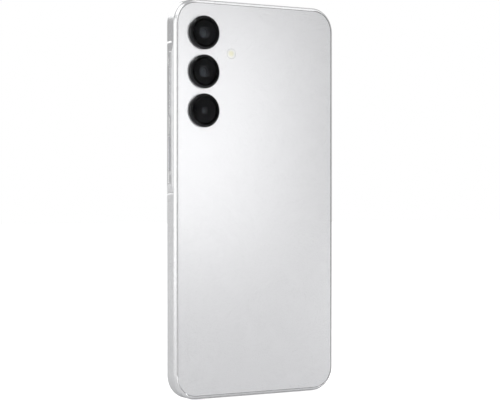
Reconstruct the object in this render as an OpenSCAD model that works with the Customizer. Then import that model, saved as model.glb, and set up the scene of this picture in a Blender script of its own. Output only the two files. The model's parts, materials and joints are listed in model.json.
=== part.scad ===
// A slim bar-shaped smartphone, built piece by piece. Every piece is drawn lying down, screen up,
// with its bottom edge at y = 0, and stand() turns it upright: screen to -Y, keys on +X.

/* [Body] */
// Width across the side walls
body_w = 77.9; // [70:0.1:95]
// Height from the bottom edge to the top edge
body_h = 164.4; // [136:0.1:198]
// Thickness from the screen glass to the back cover
body_t = 7.9; // [7.8:0.1:11]
// Radius of the four corners
corner_r = 10; // [6:0.5:12]
// Thickness of the side wall
wall_t = 2.6; // [2.2:0.1:3.1]
// Width of the rounded edge, measured inwards
edge_in = 1.3; // [0.8:0.05:1.5]
// Depth of the rounded edge, measured along the thickness
edge_deep = 1.3; // [0.6:0.1:1.4]
// Gap seen round the glass and the back cover
seam = 0.1; // [0.05:0.01:0.15]

/* [Screen] */
// Thickness of the cover glass
glass_t = 0.65; // [0.5:0.05:0.8]
// Thickness of the display panel
panel_t = 0.5; // [0.4:0.05:0.6]
// Thickness of the foam and foil behind the panel
backing_t = 0.15; // [0.1:0.05:0.2]
// Thickness of each adhesive sheet
glue_t = 0.15; // [0.1:0.05:0.2]
// Radius of the front camera's window in the display
front_cam_r = 1.7; // [1.4:0.1:2]
// Distance from the top edge to the front camera
front_cam_down = 9; // [8.6:0.1:11]
// Length of the earpiece slit
earpiece_w = 12; // [8:0.5:13]
// Thickness of the metal mid plate
plate_t = 0.7; // [0.5:0.05:0.8]

/* [Back cover] */
// Thickness of the back cover
cover_t = 0.8; // [0.6:0.05:0.9]
// Diameter of each camera ring
ring_d = 13.9; // [11.6:0.1:16.7]
// Height of each camera ring above the back cover
ring_up = 1.6; // [1.4:0.1:2.5]
// Width of the bevel on each camera ring
ring_bevel = 0.8; // [0.3:0.05:0.9]
// Width of each camera ring's rim round its lens window
ring_rim = 0.95; // [0.9:0.05:1.2]
// Distance from the key side to the edge of the camera rings
ring_side = 6.45; // [5.5:0.05:8]
// Distance from the top edge to the edge of the upper ring
ring_down = 6.7; // [6:0.05:9]
// Gap between the camera rings
ring_gap = 2.1; // [1.5:0.1:4]
// Diameter of the flash window
flash_d = 4.1; // [3:0.1:5]
// Distance from the key side to the flash
flash_in = 26.6; // [25.4:0.1:29]
// Distance from the top edge to the flash
flash_down = 21.7; // [18:0.1:26]

/* [Keys] */
// Length of the volume key
volume_len = 20.7; // [16:0.1:25]
// Width of the volume key
volume_w = 2.1; // [1.6:0.1:2.5]
// Height of the volume key above the raised pad
volume_up = 0.4; // [0.2:0.05:0.6]
// Distance from the top edge to the middle of the volume key
volume_down = 37.95; // [32:0.1:42]
// Length of the power key
power_len = 14.9; // [10:0.1:18]
// Width of the power key
power_w = 2.7; // [2:0.1:2.8]
// Distance from the top edge to the middle of the power key
power_down = 63.25; // [61:0.1:67]
// Travel of each key
key_travel = 0.3; // [0.1:0.05:0.3]
// Gap round each key
key_gap = 0.1; // [0.08:0.01:0.2]
// Height of the raised pad that the keys stand in
pad_up = 0.55; // [0.3:0.05:0.8]
// Length of each ramp at the ends of the raised pad
pad_ramp = 5.4; // [3:0.1:6]

/* [Port and sound] */
// Width of the charging port's opening
usb_w = 8.34; // [8.2:0.02:8.6]
// Height of the charging port's opening
usb_h = 2.56; // [2.4:0.02:2.6]
// Depth of the charging port
usb_deep = 6.6; // [6.2:0.1:8]
// Number of loudspeaker slots
slot_count = 6; // [3:1:7]
// Spacing of the loudspeaker slots
slot_pitch = 2.6; // [2.4:0.1:2.8]
// Radius of the microphone holes
mic_r = 0.5; // [0.3:0.05:0.6]

/* [Card tray] */
// Length of the tray's outer face
tray_face_len = 17.4; // [17:0.1:20]
// Width of the tray's outer face
tray_face_w = 2.2; // [2:0.1:2.6]
// Length of a card pocket, across the tray
card_len = 12.3; // [11.5:0.1:12.5]
// Width of a card pocket, along the tray
card_w = 8.8; // [8:0.1:9]
// Radius of the eject pin's hole
eject_r = 0.45; // [0.4:0.05:0.55]
// Distance from the top edge to the middle of the tray
tray_down = 30.4; // [28:0.1:34]
// Travel of the eject rod
eject_travel = 2; // [1:0.1:2]

/* [Inside] */
// How far the main board reaches below the middle of the lower camera ring
board_below = 8.35; // [8:0.05:14]
// Room for the charging board, measured up from the bottom edge
lower_room = 21; // [20.5:0.5:24]
// Thickness of the circuit boards
board_t = 0.8; // [0.6:0.05:0.9]
// Radius of the vibration motor
motor_r = 2; // [1.5:0.1:2.1]
// Shank radius of the screws
screw_r = 0.7; // [0.5:0.05:0.8]

/* [Hidden] */
$fn = 64;

// Levels, up towards the screen and down towards the back
front_z = body_t / 2;
back_z = -front_z;
lip_z = front_z - 0.1;
glass_z = front_z - glass_t;
ledge_z = glass_z - glue_t;
panel_z = glass_z - panel_t;
backing_z = panel_z - backing_t;
sheet_t = 0.1;
plate_top = backing_z - 0.1 - sheet_t;
plate_z = plate_top - plate_t;
board_top = plate_z - 0.2;
board_z = board_top - board_t;
cover_z = back_z + cover_t;
back_ledge_z = cover_z + glue_t;
bracket_t = 1;
bracket_z = back_ledge_z + 0.7;
film_t = 0.15;

// Levels across the width and the height
side_x = body_w / 2;
inner_x = side_x - wall_t;
inner_top = body_h - wall_t;
plate_step = 0.5;
fit = 0.1;
pocket_in = edge_in + 0.1;
cover_in = pocket_in + seam;
edge_bulge = 0.16;
ring_r = ring_d / 2;
camera_x = side_x - ring_side - ring_r;
flash_x = side_x - flash_in;
flash_y = body_h - flash_down;
camera_y = [for (i = [0:2]) body_h - ring_down - ring_r - i * (ring_d + ring_gap)];

// Camera rings and windows
window_r = ring_r - ring_rim;
window_t = 0.55;
ring_top = back_z - ring_up;
window_seat = ring_top + 0.05 + window_t;
ring_bore = window_r - 0.8;
spigot_r = ring_r - 0.55;
module_gap = 0.25;
focus_travel = 0.3;
barrel_r = ring_bore - 1;
lens_r = [ring_bore - 1.6, barrel_r + 0.2, ring_bore - 2.6];
camera_half = [lens_r[0] + 1, lens_r[1] + 1, lens_r[2] + 0.8];

// Keys and what stands behind them
pad_half = front_z - edge_deep;
pad_r = (pad_half * pad_half + pad_up * pad_up) / (2 * pad_up);
pad_axis_x = side_x + pad_up - pad_r;
ramp_lift = 0.02;
ramp_h = pad_up - ramp_lift;
ramp_r = (pad_ramp * pad_ramp + ramp_h * ramp_h) / (2 * ramp_h);
volume_y = body_h - volume_down;
power_y = body_h - power_down;
pad_y1 = volume_y + volume_len / 2 + 5 + pad_ramp - 0.3;
pad_y0 = power_y - power_len / 2 - 4.3 - pad_ramp;
flange_t = 0.4;
flange_out = 0.45;
flange_side = 0.25;
flange_x = inner_x - key_travel - 0.05 - flange_t;
plunger_len = 0.4;
plunger_out = volume_len / 2 - 3.8;
dome_t = 0.2;
dome_x = flange_x - plunger_len - key_travel - 0.05 - dome_t;
key_flex_x = dome_x - film_t;
key_flex_y0 = power_y - power_len / 2 - 1;
key_flex_y1 = (camera_y[0] + camera_y[1]) / 2 + 1.6;
key_bracket_t = 0.4;
key_bracket_x = key_flex_x - key_bracket_t;
power_up = 0.05;
sensor_t = 0.2;
sensor_len = power_len - 1.2;
sensor_w = power_w - 1;

// Earpiece, and the front camera kept clear of it
earpiece_deep = 3.4;
front_cam_half = 2.95;
front_cam_y = body_h - max(front_cam_down, wall_t + earpiece_deep + front_cam_half + 0.05);

// Charging port and loudspeaker
usb_wall = 0.3;
usb_out_w = usb_w + 2 * usb_wall;
usb_out_h = usb_h + 2 * usb_wall;
usb_y = 0.35;
usb_fit = 0.1;
tongue_w = 6.69;
tongue_t = 0.7;
speaker_x0 = 9;
speaker_x1 = inner_x - 2.6;
slot_w = 1.5;
slot_h = 1.7;
slot_row = (slot_count - 1) * slot_pitch + slot_w;
slot_x = side_x - corner_r - slot_row / 2 - 2.7;
bottom_mic_x = -11;
top_mic_x = 14;

// Boards and battery
board_x0 = -inner_x + 1;
board_x1 = camera_x - camera_half[1] - 1;
board_y0 = camera_y[2] - board_below;
board_y1 = camera_y[0] + 1;
shoulder_y = body_h - 4.1;
motor_x = -inner_x + 3;
sub_x0 = motor_x + 15.35;
sub_x1 = speaker_x0 - 1.2;
sub_y0 = wall_t + 1;
sub_y1 = lower_room - 1;
sub_z = board_t / 2;
battery_x0 = -inner_x + 4;
battery_x1 = key_bracket_x - 0.3;
battery_y0 = lower_room + 3;
battery_y1 = board_y0 - 2.3;
battery_z0 = back_ledge_z + 0.4;
battery_z1 = plate_z - 0.2;

// Vibration motor, lying along x with its can towards the side wall
motor_y = sub_y1 - 5;
motor_z = (plate_z + back_ledge_z) / 2;

// Posts on the mid plate, and the screws in them
post_r = 1.6;
post_hole = post_r + 0.3;
head_r = 1.25;
head_t = 0.45;
screw_len = 2.5;
upper_posts = [[board_x0 + 3.4, board_y0 + 2.6], [board_x1 - 2.6, board_y0 + 2.6],
    [board_x0 + 3.4, board_y1 - 3], [board_x1 - 2.6, board_y1 - 3]];
lower_posts = [[sub_x0 + 2.8, sub_y1 - 2.6], [sub_x1 - 2.4, sub_y1 - 2.6],
    [speaker_x1 - 2.2, sub_y1 - 2.6]];

// Card tray and its ejector
tray_y = body_h - tray_down;
tray_w = card_len + 1.3;
tray_t = 0.9;
tray_z = board_z - 0.3 - tray_t / 2;
face_t = 0.9;
tray_rib = 0.8;
tray_len = 3 + 2 * card_w + tray_rib + 1.2;
tray_end = -side_x + tray_len;
rod_y = tray_y - tray_w / 2 - 1.4;
rod_r = 0.42;
rod_x0 = -side_x + face_t + 0.75;
lever_arm = 4.4;
lever_y = rod_y + lever_arm;
lever_tip = 0.6;
lever_lean = asin(eject_travel / 2 / lever_arm);
slide_t = 0.7;
slide_len = 2.8;
lever_w = 0.7;
lever_x = tray_end + fit + slide_len + fit + lever_tip - eject_travel / 2;
socket_y0 = rod_y - 1;
socket_y1 = tray_y + tray_w / 2 + 0.5;
socket_x0 = -inner_x + 0.6;
socket_x1 = lever_x + 2.2;
socket_sheet = 0.2;
socket_z = tray_z - tray_t / 2 - 0.3 - socket_sheet;

// Interval that reaches h to each side of c
function span(c, h) = [c - h, c + h];

// Interval v moved by c
function shift(c, v) = [c + v[0], c + v[1]];

module stand() {
    rotate([90, 0, 0]) children();
}

// Keeps a piece clear of the side wall's round corners
module inside() {
    intersection() {
        slab(wall_t + 0.3, back_z, front_z);
        union() children();
    }
}

// Flat outline with round corners, its middle at the origin
module round_rect(w, h, r) {
    square([w - 2 * r, h], center = true);
    square([w, h - 2 * r], center = true);
    for (x = [-1, 1], y = [-1, 1])
        translate([x * (w / 2 - r), y * (h / 2 - r)]) circle(r);
}

// Flat outline with two round ends, long in y
module pill(w, len) {
    square([w, len - w], center = true);
    for (y = [-1, 1]) translate([0, y * (len - w) / 2]) circle(w / 2);
}

// Slab that follows the body's outline, moved in by inset
module slab(inset, z0, z1) {
    translate([0, body_h / 2, z0]) linear_extrude(z1 - z0)
        round_rect(body_w - 2 * inset, body_h - 2 * inset, corner_r - inset);
}

// Ring that follows the body's outline between two insets
module band(outer, inner, z0, z1) {
    difference() {
        slab(outer, z0, z1);
        slab(inner, z0 - 1, z1 + 1);
    }
}

// Box given by its two corners
module block(x, y, z) {
    translate([x[0], y[0], z[0]]) cube([x[1] - x[0], y[1] - y[0], z[1] - z[0]]);
}

// Upright cylinder between two levels
module post(x, y, z0, z1, r) {
    translate([x, y, z0]) cylinder(h = z1 - z0, r = r);
}

// Prism through a side wall, from its outline in y and z
module across_x(x0, x1, y, z) {
    translate([x0, y, z]) rotate([0, 90, 0]) linear_extrude(x1 - x0) children();
}

// Prism through the bottom or top wall, long in x
module across_y(x, y0, y1, z) {
    translate([x, y0, z]) rotate([-90, 0, 0]) linear_extrude(y1 - y0) rotate(90) children();
}

// Round cord between two points
module cord_piece(from, to, r) {
    d = to - from;
    translate(from) rotate([0, acos(d[2] / norm(d)), atan2(d[1], d[0])]) cylinder(h = norm(d), r = r);
    translate(to) sphere(r + 0.05);
}

// Section of the side wall: x runs out from the corner's centre, y towards the screen
module wall_section() {
    edge = [for (t = [0:0.25:1]) let(b = edge_bulge * 4 * t * (1 - t) / norm([edge_in, edge_deep]))
        [corner_r - edge_in * t + b * edge_deep, edge_deep * t + b * edge_in]];
    low = front_z - edge_deep;
    polygon(concat(
        [for (p = edge) [p[0], low + min(p[1], edge_deep - 0.1)]],
        [[corner_r - pocket_in, lip_z], [corner_r - pocket_in, ledge_z],
            [corner_r - wall_t + plate_step, ledge_z], [corner_r - wall_t + plate_step, plate_z],
            [corner_r - wall_t, plate_z], [corner_r - wall_t, back_ledge_z],
            [corner_r - pocket_in, back_ledge_z], [corner_r - pocket_in, back_z]],
        [for (i = [len(edge) - 1:-1:0]) [edge[i][0], -low - edge[i][1]]]));
}

// Carries a section round the body's outline
module carry_round() {
    for (side = [0:3]) {
        out = (side % 2 == 0 ? body_w : body_h) / 2 - corner_r;
        along = (side % 2 == 0 ? body_h : body_w) / 2 - corner_r;
        rotate(90 * side) translate([out, along, 0]) {
            rotate([90, 0, 0]) linear_extrude(2 * along) children();
            rotate_extrude(angle = 90) children();
        }
    }
}

// Raised pad round the keys: a crowned bar that fades out in a hollow ramp at each end
module key_pad() {
    difference() {
        intersection() {
            translate([pad_axis_x, pad_y0, 0]) rotate([-90, 0, 0])
                cylinder(h = pad_y1 - pad_y0, r = pad_r, $fn = 180);
            block([side_x - 0.6, side_x + 2], [pad_y0, pad_y1], [-pad_half, pad_half]);
        }
        for (y = [pad_y0, pad_y1])
            post(side_x + ramp_lift + ramp_r, y, -front_z, front_z, ramp_r, $fn = 180);
    }
}

module side_frame() color("lightsteelblue") stand() difference() {
    union() {
        translate([0, body_h / 2, 0]) carry_round() wall_section();
        key_pad();
    }
    // Key openings
    across_x(inner_x - 1, side_x + 2, volume_y, 0)
        pill(volume_w + 2 * key_gap, volume_len + 2 * key_gap);
    across_x(inner_x - 1, side_x + 2, power_y, 0)
        pill(power_w + 2 * key_gap, power_len + 2 * key_gap);
    // Charging port, loudspeaker slots and microphone holes
    across_y(0, -1, wall_t + 1, 0) pill(usb_out_h + 2 * usb_fit, usb_out_w + 2 * usb_fit);
    for (i = [0:slot_count - 1])
        across_y(slot_x + (i - (slot_count - 1) / 2) * slot_pitch, -1, wall_t + 1, 0) pill(slot_w, slot_h);
    translate([bottom_mic_x, -1, 0]) rotate([-90, 0, 0]) cylinder(h = wall_t + 2, r = mic_r);
    translate([top_mic_x, inner_top - 1, 0]) rotate([-90, 0, 0]) cylinder(h = wall_t + 2, r = mic_r);
    // Card tray: its face, its seal, the tray itself and the eject rod
    across_x(-side_x - 1, -side_x + face_t + fit, tray_y - 0.4, tray_z)
        pill(tray_face_w + 2 * fit, tray_face_len + 2 * fit);
    block([-side_x + face_t, -side_x + face_t + 1], span(tray_y, tray_w / 2 + 0.45),
        span(tray_z, tray_t / 2 + 0.45));
    block([-side_x, -inner_x + 1], span(tray_y, tray_w / 2 + fit), span(tray_z, tray_t / 2 + fit));
    block([-side_x + face_t, -inner_x + 1], span(rod_y, rod_r + fit), span(tray_z, rod_r + fit));
    // Earpiece duct
    block(span(0, earpiece_w / 2 - 0.6), [inner_top - 0.5, body_h - pocket_in - 0.1],
        [ledge_z - 0.5, front_z]);
}

module mid_plate() color("silver") stand() difference() {
    union() {
        slab(wall_t - plate_step + fit, plate_z, plate_top);
        for (p = concat(upper_posts, lower_posts))
            post(p[0], p[1], bracket_z + bracket_t, plate_z + 0.1, post_r);
        // Shoulders that the boards rest on
        for (p = upper_posts) post(p[0], p[1], board_top, plate_z + 0.1, post_r + 0.9);
        for (i = [0:1]) post(lower_posts[i][0], lower_posts[i][1], sub_z, plate_z + 0.1, post_r + 0.9);
    }
    for (p = concat(upper_posts, lower_posts)) post(p[0], p[1], bracket_z, plate_z - 0.3, screw_r + 0.05);
    // Relief over the charging port's seal
    block(span(0, usb_out_w / 2 + 1), [0, wall_t + 1.2], [plate_z - 1, plate_top - 0.25]);
    // Front camera, earpiece duct and the display's ribbon
    block(span(0, front_cam_half - 0.2), span(front_cam_y, front_cam_half - 0.2),
        [plate_z - 1, plate_top + 1]);
    block(span(0, earpiece_w / 2 - 1), [body_h - wall_t - 1.6, body_h - wall_t - 0.4],
        [plate_z - 1, plate_top + 1]);
    block([sub_x0 + 1.5, -3.5], shift(battery_y0, [-2.9, -1.9]), [plate_z - 1, plate_top + 1]);
}

module back_cover() color("lightsteelblue") stand() difference() {
    slab(cover_in, back_z, cover_z);
    for (y = camera_y) post(camera_x, y, back_z - 1, cover_z + 1, spigot_r + fit);
    post(flash_x, flash_y, back_z - 1, cover_z + 1, flash_d / 2 + 0.05);
}

module back_cover_adhesive() color("dimgray") stand()
    band(cover_in + 0.05, wall_t - 0.1, cover_z, back_ledge_z);

// Camera ring with a bevelled edge, a seat for its window and a spigot through the cover
module camera_ring(i) {
    translate([camera_x, camera_y[i], 0]) rotate_extrude() polygon([
        [ring_bore, window_seat], [window_r + 0.04, window_seat], [window_r + 0.04, ring_top],
        [ring_r - ring_bevel, ring_top], [ring_r, ring_top + ring_bevel * 0.7], [ring_r, back_z],
        [spigot_r, back_z], [spigot_r, cover_z], [ring_bore, cover_z]]);
}

module upper_camera_ring() color("black") stand() camera_ring(0);

module middle_camera_ring() color("black") stand() camera_ring(1);

module lower_camera_ring() color("black") stand() camera_ring(2);

module lens_window(i) {
    post(camera_x, camera_y[i], window_seat - window_t, window_seat, window_r);
}

module upper_lens_window() color("black") stand() lens_window(0);

module middle_lens_window() color("black") stand() lens_window(1);

module lower_lens_window() color("black") stand() lens_window(2);

module flash_window() color("ivory") stand() {
    post(flash_x, flash_y, back_z - 0.05, cover_z + 0.05, flash_d / 2);
    post(flash_x, flash_y, cover_z, cover_z + 0.35, flash_d / 2 + 0.5);
}

module cover_glass() color("black") stand() difference() {
    slab(cover_in, glass_z, front_z);
    block(span(0, earpiece_w / 2), [body_h - pocket_in - 0.65, body_h], [glass_z - 1, front_z + 1]);
}

module display_adhesive() color("dimgray") stand() difference() {
    band(cover_in + 0.05, wall_t - plate_step, ledge_z, glass_z);
    block(span(0, earpiece_w / 2 + 0.2), [body_h - 4, body_h], [ledge_z - 1, glass_z + 1]);
}

// What the front camera looks through
module front_notch(z0, z1) {
    post(0, front_cam_y, z0, z1, front_cam_r + 0.4);
    block(span(0, front_cam_r + 0.4), [front_cam_y, body_h], [z0, z1]);
}

module display_panel() color("black") stand() difference() {
    slab(wall_t + 0.2, panel_z, glass_z);
    front_notch(panel_z - 1, glass_z + 1);
}

module display_backing() color("peru") stand() difference() {
    slab(wall_t + 0.5, backing_z, panel_z);
    front_notch(backing_z - 1, panel_z + 1);
}

module graphite_sheet() color("darkslategray") stand()
    block(span(0, side_x - wall_t - 6), [battery_y0, board_y1 - 11.35], [plate_top, plate_top + sheet_t]);

module earpiece_mesh() color("gray") stand()
    block(span(0, earpiece_w / 2 - 0.05), shift(body_h - pocket_in, [-0.6, -0.05]),
        [ledge_z, front_z - 0.15]);

module earpiece_speaker() color("dimgray") stand() {
    block(span(0, earpiece_w / 2), shift(body_h - wall_t, [-earpiece_deep, -0.3]), [plate_z - 2, plate_z]);
    block(span(0, earpiece_w / 2 - 1.3), shift(body_h - wall_t, [-1.5, -0.5]), [plate_z - 0.1, plate_top]);
}

module front_camera() color("black") stand() {
    block(span(0, front_cam_half - 0.3), span(front_cam_y, front_cam_half - 0.3),
        [plate_z - 2.4, plate_top]);
    block(span(0, front_cam_half), span(front_cam_y, front_cam_half), [plate_z - 1.2, plate_z]);
    post(0, front_cam_y, plate_top - 0.1, glass_z - 0.1, front_cam_r);
}

module main_board() color("seagreen") stand() difference() {
    inside() {
        block([board_x0, board_x1], [board_y0, board_y1], [board_z, board_top]);
        block([board_x0, -7.5], [board_y1 - 1, shoulder_y], [board_z, board_top]);
        block([7.5, board_x1 - 0.6], [board_y1 - 1, shoulder_y], [board_z, board_top]);
        block([7.5, board_x1 + 4], [camera_y[0] + camera_half[0] + 2.6, shoulder_y], [board_z, board_top]);
    }
    for (p = upper_posts) post(p[0], p[1], board_z - 1, board_top + 1, post_hole);
}

// Pressed metal can over part of the board, open towards the board
module shield_can(x, y, h) {
    difference() {
        block(x, y, [board_z - h, board_z]);
        block(x + [0.2, -0.2], y + [0.2, -0.2], [board_z - h + 0.2, board_z + 1]);
    }
}

module processor_shield() color("silver") stand()
    shield_can([socket_x1 + 1, board_x1 - 1], [board_y0 + 5.4, board_y1 - 13.35], 1.4);

module radio_shield() color("silver") stand()
    shield_can([board_x0 + 1, socket_x1 - 1], [board_y0 + 5.4, socket_y0 - 0.8], 1.4);

module board_connectors() color("dimgray") stand() {
    for (i = [0:1])
        block([board_x1 - 9.5, board_x1 - 2], shift(board_y1 - 11.35 + 3.4 * i, [0, 2.2]),
            [board_z - 0.8, board_z]);
    block([-7, 1], shift(board_y0, [1, 3.2]), [board_z - 0.8, board_z]);
    block([5, 10.5], shift(board_y0, [1, 3.2]), [board_z - 0.8, board_z]);
}

module board_cover() color("darkslategray") stand() difference() {
    inside() {
        block([board_x0, board_x1], [board_y0 + 0.3, board_y1], shift(bracket_z, [0, bracket_t]));
        block([board_x0, -7.5], [board_y1 - 1, shoulder_y], shift(bracket_z, [0, bracket_t]));
    }
    for (p = upper_posts) screw_seat(p);
}

// Stepped hole for a screw, its head sunk below the face
module screw_seat(p) {
    post(p[0], p[1], bracket_z - 1, bracket_z + head_t + 0.05, head_r + 0.2);
    post(p[0], p[1], bracket_z - 1, bracket_z + bracket_t + 1, screw_r + 0.15);
}

module nfc_antenna() color("saddlebrown") stand() difference() {
    block([board_x0 + 6, board_x1 - 6.5], [board_y0 + 4, board_y1 - 12], [bracket_z - film_t, bracket_z]);
    block([board_x0 + 11, board_x1 - 11.5], [board_y0 + 9, board_y1 - 17], [bracket_z - 1, bracket_z + 1]);
}

module flash_led() color("gold") stand() {
    block(span(flash_x, 2.4), span(flash_y, 2.4), [bracket_z - 0.2, bracket_z]);
    block(span(flash_x, 1.5), span(flash_y, 1.5), [cover_z + 0.4, bracket_z - 0.2]);
}

// Camera block with its ribbon to the board, without its lens
module camera_block(i) {
    half = camera_half[i];
    y = camera_y[i];
    block(span(camera_x, half), span(y, half), [back_ledge_z + module_gap, plate_z]);
    block([board_x1 - 0.9, camera_x - half + 0.2], span(y, 1.6), [board_z - film_t, board_z]);
}

module upper_camera() color("dimgray") stand() {
    camera_block(0);
    post(camera_x, camera_y[0], window_seat + 0.3, back_ledge_z + 1, lens_r[0]);
}

module middle_camera_housing() color("dimgray") stand() difference() {
    camera_block(1);
    post(camera_x, camera_y[1], back_z, plate_z - 1, lens_r[1]);
}

module middle_camera_barrel() color("black") stand() {
    post(camera_x, camera_y[1], window_seat + focus_travel + 0.1, plate_z - 1.6, barrel_r);
}

module lower_camera() color("dimgray") stand() {
    camera_block(2);
    post(camera_x, camera_y[2], window_seat + 0.3, back_ledge_z + 1, lens_r[2]);
}

module battery() color("black") stand()
    block([battery_x0, battery_x1], [battery_y0, battery_y1], [battery_z0, battery_z1]);

module battery_tape() color("white") stand() {
    block(span(0, 22), [battery_y0 + 6, battery_y1 - 6], [battery_z1, plate_z]);
}

module battery_flex() color("peru") stand() {
    block([6, 9.5], [battery_y1, board_y0 + 3.2], [board_z - 0.95, board_z - 0.8]);
    block([5, 22], [battery_y1, battery_y1 + 1.2], [board_z - 0.8, board_z]);
}

module sub_board() color("seagreen") stand() difference() {
    block([sub_x0, sub_x1], [sub_y0, sub_y1], span(0, sub_z));
    block(span(0, usb_out_w / 2 + 0.05), [0, usb_y + usb_deep + usb_wall + 0.1], [-2, 2]);
    for (p = [lower_posts[0], lower_posts[1]]) post(p[0], p[1], -2, 2, post_hole);
}

module usb_shell() color("silver") stand() difference() {
    union() {
        across_y(0, usb_y, usb_y + usb_deep + usb_wall, 0) pill(usb_out_h, usb_out_w);
        // Feet on the charging board
        for (y = [0.4, 2.4])
            block(span(0, usb_out_w / 2 + 0.9), shift(sub_y0 + y, [0, 0.9]), [-sub_z - 0.2, -sub_z]);
    }
    across_y(0, usb_y - 1, usb_y + usb_deep, 0) pill(usb_h, usb_w);
}

module usb_tongue() color("black") stand() {
    block(span(0, tongue_w / 2), [usb_y + 1.1, usb_y + usb_deep], span(0, tongue_t / 2));
    across_y(0, usb_y + usb_deep - 1.4, usb_y + usb_deep, 0) pill(usb_h - 0.04, usb_w - 0.04);
}

module usb_gasket() color("black") stand() difference() {
    across_y(0, wall_t, wall_t + 0.8, 0) pill(usb_out_h + 1.2, usb_out_w + 1.2);
    across_y(0, wall_t - 1, wall_t + 2, 0) pill(usb_out_h + 0.02, usb_out_w + 0.02);
}

module loudspeaker() color("black") stand() difference() {
    union() {
        difference() {
            inside() block([speaker_x0, speaker_x1], [wall_t + 0.5, sub_y1], [bracket_z, plate_z]);
            block([speaker_x1 - 5, speaker_x1 + 1], [sub_y1 - 5, sub_y1 + 1], [bracket_z + bracket_t, 3]);
        }
        block([sub_x0, speaker_x0 + 1], [sub_y1 - 6, sub_y1], shift(bracket_z, [0, bracket_t]));
    }
    for (p = lower_posts) screw_seat(p);
    // Sound outlet towards the slots
    block(span(slot_x, slot_row / 2 + 0.2), [wall_t, wall_t + 2.5], [-1.2, 1.2]);
}

module speaker_mesh() color("dimgray") stand()
    block(span(slot_x, slot_row / 2 + 0.8), [wall_t, wall_t + 0.2], [-1.4, 1.4]);

module along_x(x, y, z, len, r) {
    translate([x, y, z]) rotate([0, 90, 0]) cylinder(h = len, r = r);
}

module vibration_can() color("silver") stand() difference() {
    union() {
        along_x(motor_x, motor_y, motor_z, 8, motor_r);
        along_x(motor_x + 7.5, motor_y, motor_z, 1.1, 0.8);
        block([motor_x + 0.5, motor_x + 7], span(motor_y, 1.2), [motor_z, plate_z]);
    }
    along_x(motor_x + 4, motor_y, motor_z, 6, 0.42);
}

module vibration_weight() color("dimgray") stand() {
    along_x(motor_x + 4.5, motor_y, motor_z, 8, 0.35);
    intersection() {
        along_x(motor_x + 8.9, motor_y, motor_z, 3.4, motor_r - 0.05);
        block([motor_x + 8, motor_x + 13], span(motor_y, 3), [motor_z - 3, motor_z + 0.6]);
    }
}

module bottom_microphone() color("silver") stand()
    block(span(bottom_mic_x, 1.8), [sub_y0 + 0.1, sub_y0 + 2.8], [-sub_z - 1, -sub_z]);

module top_microphone() color("silver") stand()
    block(span(top_mic_x, 1.8), [shoulder_y - 2.8, shoulder_y - 0.1], [board_z - 1, board_z]);

module main_flex() color("darkorange") stand() {
    x = [-3, 3.4];
    top = battery_z0;
    block(x, [sub_y1 - 7.5, battery_y0 - 1], [-sub_z - film_t, -sub_z]);
    block(x, shift(battery_y0, [-1, -0.85]), [top - film_t, -sub_z]);
    block(x, [battery_y0 - 1, battery_y1 + 1], [top - film_t, top]);
    block(x, shift(battery_y1, [0.85, 1]), [top - film_t, board_z - 0.8]);
    block([x[0], x[0] + 3], [battery_y1 + 0.85, board_y0 + 3.2], [board_z - 0.8 - film_t, board_z - 0.8]);
}

module display_flex() color("darkorange") stand() {
    x = [sub_x0 + 2, -4];
    y = battery_y0 - 2.4;
    block(x, [y - 6, y], [backing_z - film_t, backing_z]);
    block(x, [y - film_t, y], [-sub_z - film_t, backing_z]);
    block([x[0] + 5, x[1]], [y - 6.5, y], [-sub_z - film_t, -sub_z]);
}

module coax_cable() color("black") stand() {
    x = -inner_x + 1.55;
    z = -sub_z - 0.6;
    far_z = board_z - 0.6;
    route = [[sub_x0 + 1.3, sub_y0 + 4, z], [x, sub_y0 + 4, z], [x, board_y0 - 3, z],
        [x, board_y0 + 1, far_z], [x + 0.3, board_y0 + 4, far_z]];
    // A round plug at each end
    post(route[0][0], route[0][1], z - 0.5, -sub_z, 0.8);
    post(route[4][0], route[4][1], far_z - 0.5, board_z, 0.8);
    for (i = [0:len(route) - 2]) cord_piece(route[i], route[i + 1], 0.4);
}

// Key seen from outside as a bar with round ends, crowned like the pad
module key_shape(y, len, w, up) {
    intersection() {
        across_x(flange_x, side_x + 3, y, 0) pill(w, len);
        translate([pad_axis_x, y - len, 0]) rotate([-90, 0, 0])
            cylinder(h = 2 * len, r = pad_r + up, $fn = 180);
    }
    across_x(flange_x, flange_x + flange_t, y, 0) pill(w + 2 * flange_side, len + 2 * flange_out);
}

module volume_key() color("lightsteelblue") stand() {
    key_shape(volume_y, volume_len, volume_w, volume_up);
    for (s = [-1, 1])
        along_x(flange_x - plunger_len, volume_y + s * plunger_out, 0, plunger_len + 0.1, 0.8);
}

module power_key() color("lightsteelblue") stand() difference() {
    union() {
        key_shape(power_y, power_len, power_w, power_up);
        along_x(flange_x - plunger_len, power_y, 0, plunger_len + 0.1, 0.8);
    }
    across_x(side_x + pad_up - sensor_t, side_x + 3, power_y, 0) pill(sensor_w, sensor_len);
}

module fingerprint_sensor() color("lightslategray") stand() intersection() {
    across_x(side_x + pad_up - sensor_t, side_x + 3, power_y, 0) pill(sensor_w - 0.04, sensor_len - 0.04);
    translate([pad_axis_x, power_y - power_len, 0]) rotate([-90, 0, 0])
        cylinder(h = 2 * power_len, r = pad_r + power_up - 0.02, $fn = 180);
}

module key_domes() color("silver") stand() {
    for (y = [volume_y - plunger_out, volume_y + plunger_out, power_y])
        translate([dome_x, y, 0]) rotate([0, 90, 0]) cylinder(h = dome_t, r1 = 1.4, r2 = 0.7);
}

module side_key_flex() color("darkorange") stand() {
    block([key_flex_x, dome_x], [key_flex_y0, key_flex_y1], [-1.5, 1.5]);
    block([board_x1 - 1.2, key_flex_x + 0.1], [key_flex_y1 - 2.4, key_flex_y1],
        [board_z - film_t, board_z]);
}

module key_bracket() color("silver") stand()
    block([key_bracket_x, key_flex_x], [key_flex_y0, key_flex_y1 - 2.6], [-1.8, plate_z]);

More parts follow.
